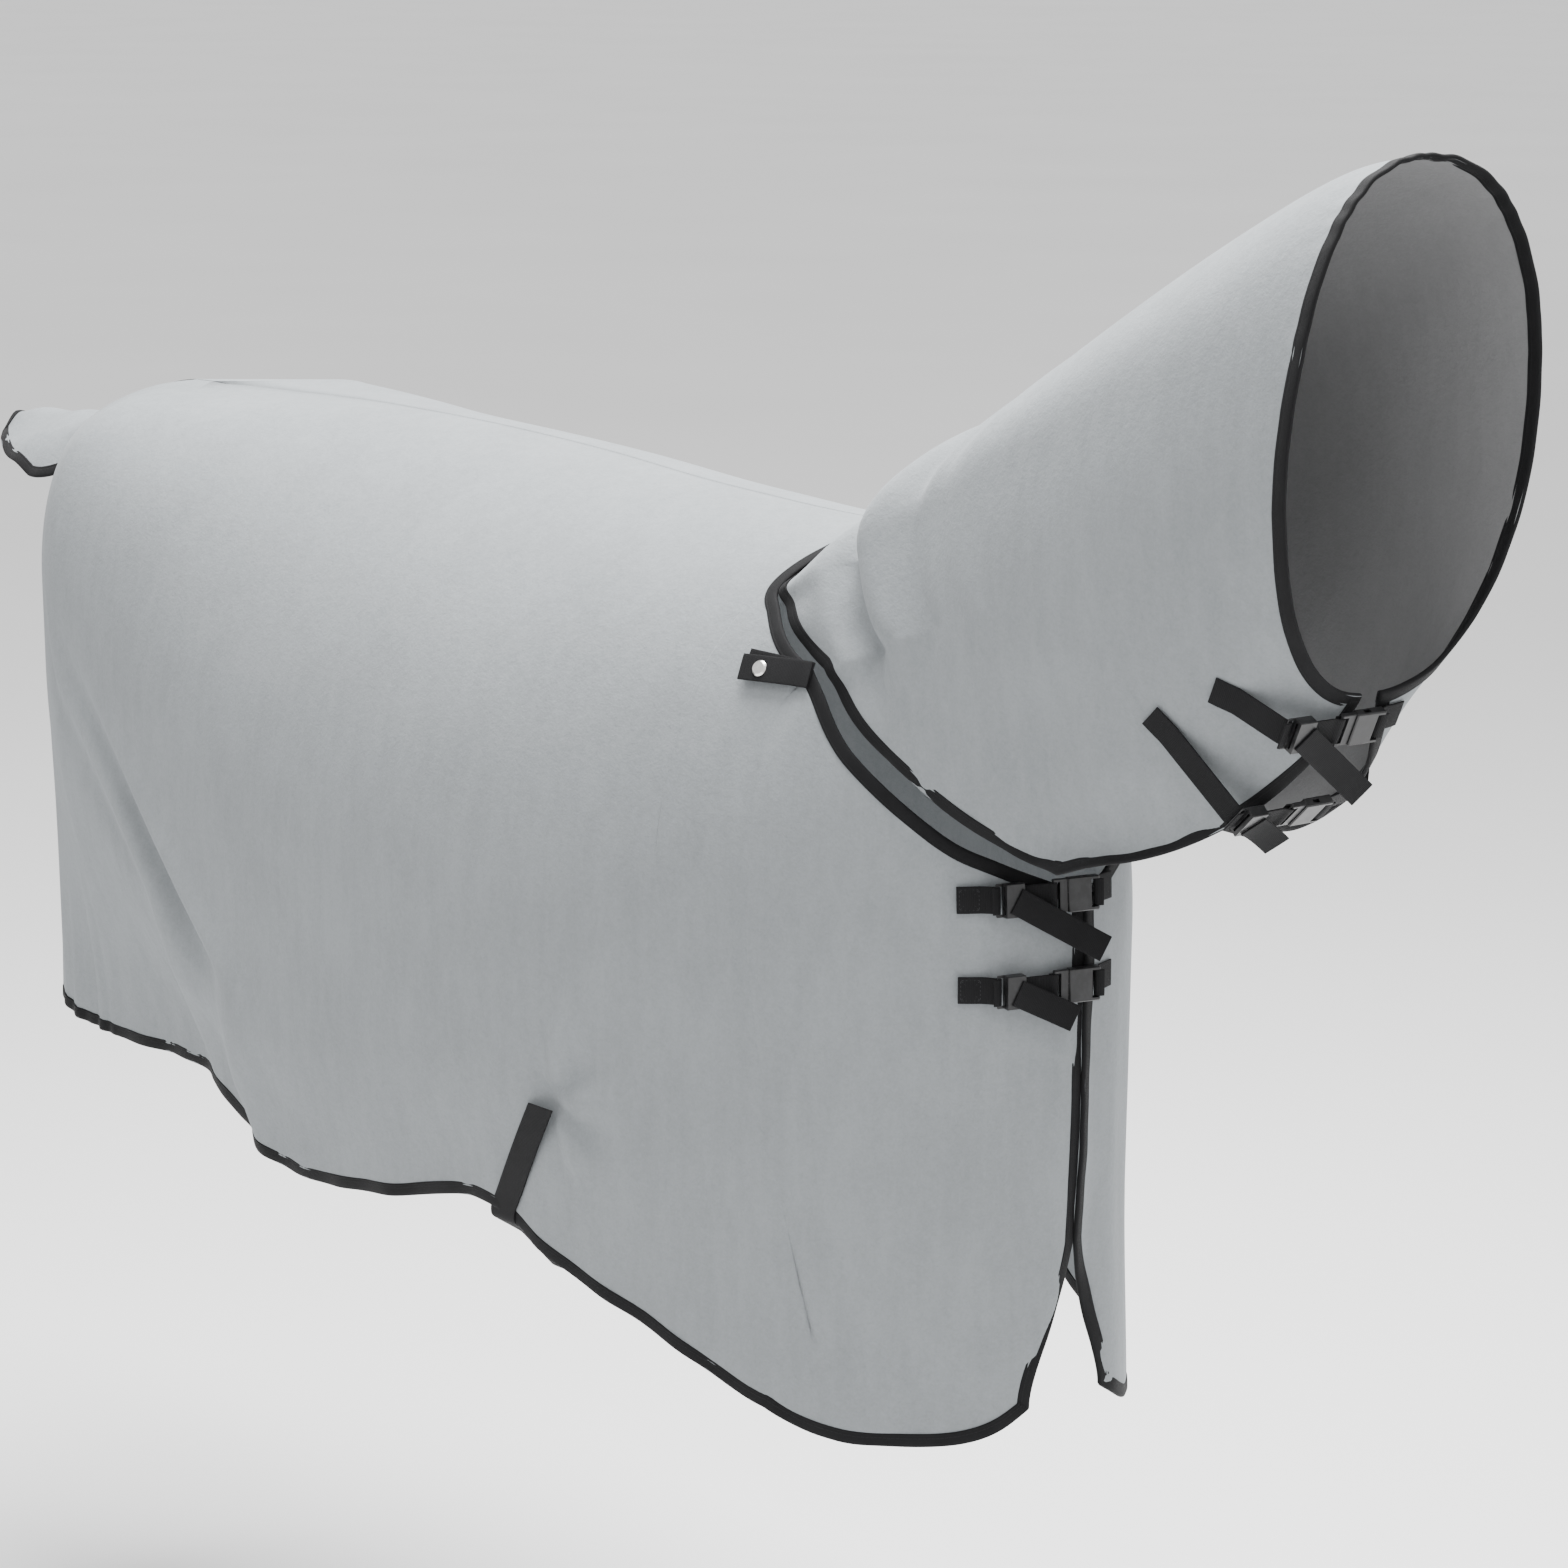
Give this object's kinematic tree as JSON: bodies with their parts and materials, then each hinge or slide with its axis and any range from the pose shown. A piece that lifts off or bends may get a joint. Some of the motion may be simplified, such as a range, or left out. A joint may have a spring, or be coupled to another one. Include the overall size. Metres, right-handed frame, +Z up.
{
  "type": "horse rug with neck cover",
  "caption": "Soft full-length horse rug with a detachable neck cover, bound edges, tail flap, clip-buckle straps at chest, throat and belly, and press-stud shoulder tabs.",
  "frame": {"origin": "on the spine seam at the withers, on the middle of the cloth, where the rug rests on the horse", "axes": "+X towards the horse's head, +Y to the horse's left, +Z up"},
  "size_m": [2.2585, 0.6094, 1.2091],
  "materials": {
    "fleece": "light grey brushed fleece",
    "binding": "black woven edge binding",
    "webbing": "black woven webbing",
    "plastic": "black moulded buckle plastic",
    "stud": "bright nickel-plated press stud"
  },
  "bodies": {
    "rug": {"body_panel_right": "fleece", "body_edge_tape_right": "binding", "neckline_tape_right": "binding", "tab_right_lower_leaf": "webbing", "tab_right_socket": "stud", "body_panel_left": "fleece", "body_edge_tape_left": "binding", "neckline_tape_left": "binding", "tab_left_lower_leaf": "webbing", "tab_left_socket": "stud", "chest_upper_slider": "plastic", "chest_upper_sewn_webbing": "webbing", "chest_upper_far_webbing": "webbing", "chest_upper_female_buckle": "plastic", "chest_lower_slider": "plastic", "chest_lower_sewn_webbing": "webbing", "chest_lower_far_webbing": "webbing", "chest_lower_female_buckle": "plastic", "belly_slider": "plastic", "belly_right_webbing": "webbing", "belly_left_webbing": "webbing", "belly_female_buckle": "plastic"},
    "tail_flap": {"tail_flap": "fleece", "tail_flap_tape": "binding"},
    "neck_cover": {"neck_panel_right": "fleece", "neck_edge_tape_right": "binding", "face_tape_right": "binding", "neck_panel_left": "fleece", "neck_edge_tape_left": "binding", "face_tape_left": "binding", "chin_upper_slider": "plastic", "chin_upper_sewn_webbing": "webbing", "chin_upper_far_webbing": "webbing", "chin_upper_female_buckle": "plastic", "chin_lower_slider": "plastic", "chin_lower_sewn_webbing": "webbing", "chin_lower_far_webbing": "webbing", "chin_lower_female_buckle": "plastic"},
    "chest_upper_strap": {"chest_upper_strap": "webbing", "chest_upper_male_buckle": "plastic"},
    "chest_upper_tail": {"chest_upper_loose_tail": "webbing"},
    "chest_lower_strap": {"chest_lower_strap": "webbing", "chest_lower_male_buckle": "plastic"},
    "chest_lower_tail": {"chest_lower_loose_tail": "webbing"},
    "chin_upper_strap": {"chin_upper_strap": "webbing", "chin_upper_male_buckle": "plastic"},
    "chin_upper_tail": {"chin_upper_loose_tail": "webbing"},
    "chin_lower_strap": {"chin_lower_strap": "webbing", "chin_lower_male_buckle": "plastic"},
    "chin_lower_tail": {"chin_lower_loose_tail": "webbing"},
    "belly_strap": {"belly_strap": "webbing", "belly_male_buckle": "plastic"},
    "tab_right": {"tab_right_upper_leaf": "webbing", "tab_right_stud": "stud"},
    "tab_left": {"tab_left_upper_leaf": "webbing", "tab_left_stud": "stud"}
  },
  "joints": [
    {"name": "tail_flap_droop", "type": "hinge", "parent": "rug", "child": "tail_flap", "pos_m": [-1.195, 0, 0.005], "axis": [0, 1, 0], "range_deg": [-15, 0]},
    {"name": "neck_cover_pull_off", "type": "slide", "parent": "rug", "child": "neck_cover", "axis": [1, 0, 0], "range_m": [0, 0.15]},
    {"name": "chest_upper_strap_slide", "type": "slide", "parent": "rug", "child": "chest_upper_strap", "axis": [-0.2741, -0.9617, 0], "range_m": [0, 0.022]},
    {"name": "chest_upper_tail_lift", "type": "hinge", "parent": "chest_upper_strap", "child": "chest_upper_tail", "pos_m": [0.24135, -0.07629, -0.3171], "axis": [-0.0923, -0.5092, -0.8557], "range_deg": [0, 60]},
    {"name": "chest_lower_strap_slide", "type": "slide", "parent": "rug", "child": "chest_lower_strap", "axis": [-0.2741, -0.9617, -0.0036], "range_m": [0, 0.022]},
    {"name": "chest_lower_tail_lift", "type": "hinge", "parent": "chest_lower_strap", "child": "chest_lower_tail", "pos_m": [0.24406, -0.07629, -0.4021], "axis": [-0.1236, -0.4335, -0.8926], "range_deg": [0, 60]},
    {"name": "chin_upper_strap_slide", "type": "slide", "parent": "neck_cover", "child": "chin_upper_strap", "axis": [-0.1032, -0.9947, 0], "range_m": [0, 0.022]},
    {"name": "chin_upper_tail_lift", "type": "hinge", "parent": "chin_upper_strap", "child": "chin_upper_tail", "pos_m": [0.59135, -0.07633, -0.11413], "axis": [-0.3978, -0.5777, -0.7128], "range_deg": [0, 60]},
    {"name": "chin_lower_strap_slide", "type": "slide", "parent": "neck_cover", "child": "chin_lower_strap", "axis": [-0.0461, -0.9989, 0], "range_m": [0, 0.022]},
    {"name": "chin_lower_tail_lift", "type": "hinge", "parent": "chin_lower_strap", "child": "chin_lower_tail", "pos_m": [0.532, -0.0755, -0.19912], "axis": [-0.6461, -0.5007, -0.576], "range_deg": [0, 60]},
    {"name": "belly_strap_slide", "type": "slide", "parent": "rug", "child": "belly_strap", "axis": [0, -1, 0], "range_m": [0, 0.022]},
    {"name": "tab_right_lift", "type": "hinge", "parent": "rug", "child": "tab_right", "pos_m": [0.05472, -0.16272, -0.12636], "axis": [-0.1145, 0.4268, 0.8971], "range_deg": [0, 90]},
    {"name": "tab_left_lift", "type": "hinge", "parent": "rug", "child": "tab_left", "pos_m": [0.05472, 0.16272, -0.12636], "axis": [0.1145, 0.4268, -0.8971], "range_deg": [0, 90]}
  ]
}
